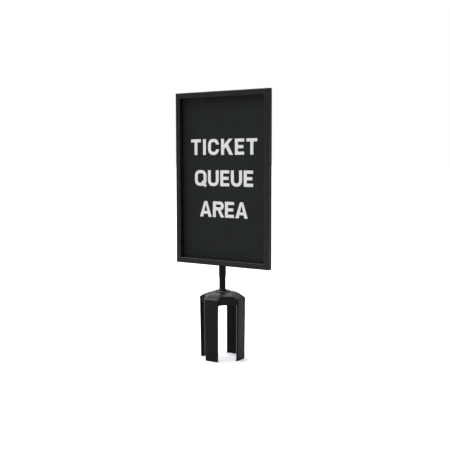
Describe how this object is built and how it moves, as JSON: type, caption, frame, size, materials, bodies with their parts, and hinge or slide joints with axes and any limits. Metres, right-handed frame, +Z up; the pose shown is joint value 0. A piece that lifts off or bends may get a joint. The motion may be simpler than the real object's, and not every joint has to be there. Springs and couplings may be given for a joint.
{
  "type": "sign stand",
  "caption": "Upright sign in a slim black frame on a short turning stem, with a four-legged moulded cap that slips over a belt-barrier post head.",
  "frame": {"origin": "centre of the leg ends, on the stem axis", "axes": "+Z up along the stem, sign faces -Y, +X to the viewer's right"},
  "size_m": [0.1906, 0.0776, 0.4486],
  "materials": {
    "abs_black": "fine satin moulded ABS",
    "frame_paint": "black powder coat on aluminium",
    "stem_paint": "black satin paint on steel",
    "black_steel": "black oxide steel",
    "zinc_steel": "zinc plated steel",
    "die_cast_key": "raw die-cast zinc",
    "insert_card": "matt black styrene sheet",
    "backing_black": "black hardboard",
    "white_vinyl": "matt white vinyl"
  },
  "bodies": {
    "post_cap": {"adapter_cap": "abs_black"},
    "sign": {"flange_washer": "black_steel", "under_washer": "zinc_steel", "spring_washer": "zinc_steel", "lock_nut": "zinc_steel", "stem_rod": "stem_paint", "stem_collar": "stem_paint", "collar_set_screw": "black_steel", "stem_anchor": "zinc_steel", "corner_screws": "black_steel", "frame_left_rail": "frame_paint", "frame_right_rail": "frame_paint", "frame_bottom_rail": "frame_paint", "frame_top_rail": "frame_paint", "corner_key_top_left": "die_cast_key", "corner_key_top_right": "die_cast_key", "corner_key_bottom_left": "die_cast_key", "corner_key_bottom_right": "die_cast_key"},
    "insert": {"sign_insert": "insert_card", "backing_board": "backing_black", "lettering_top": "white_vinyl", "lettering_middle": "white_vinyl", "lettering_bottom": "white_vinyl"}
  },
  "joints": [
    {"name": "sign_turn", "type": "hinge", "parent": "post_cap", "child": "sign", "pos_m": [0, 0, 0.113], "axis": [0, 0, 1], "continuous": true},
    {"name": "insert_slide", "type": "slide", "parent": "sign", "child": "insert", "axis": [0, 0, 1], "range_m": [0, 0.29]}
  ]
}
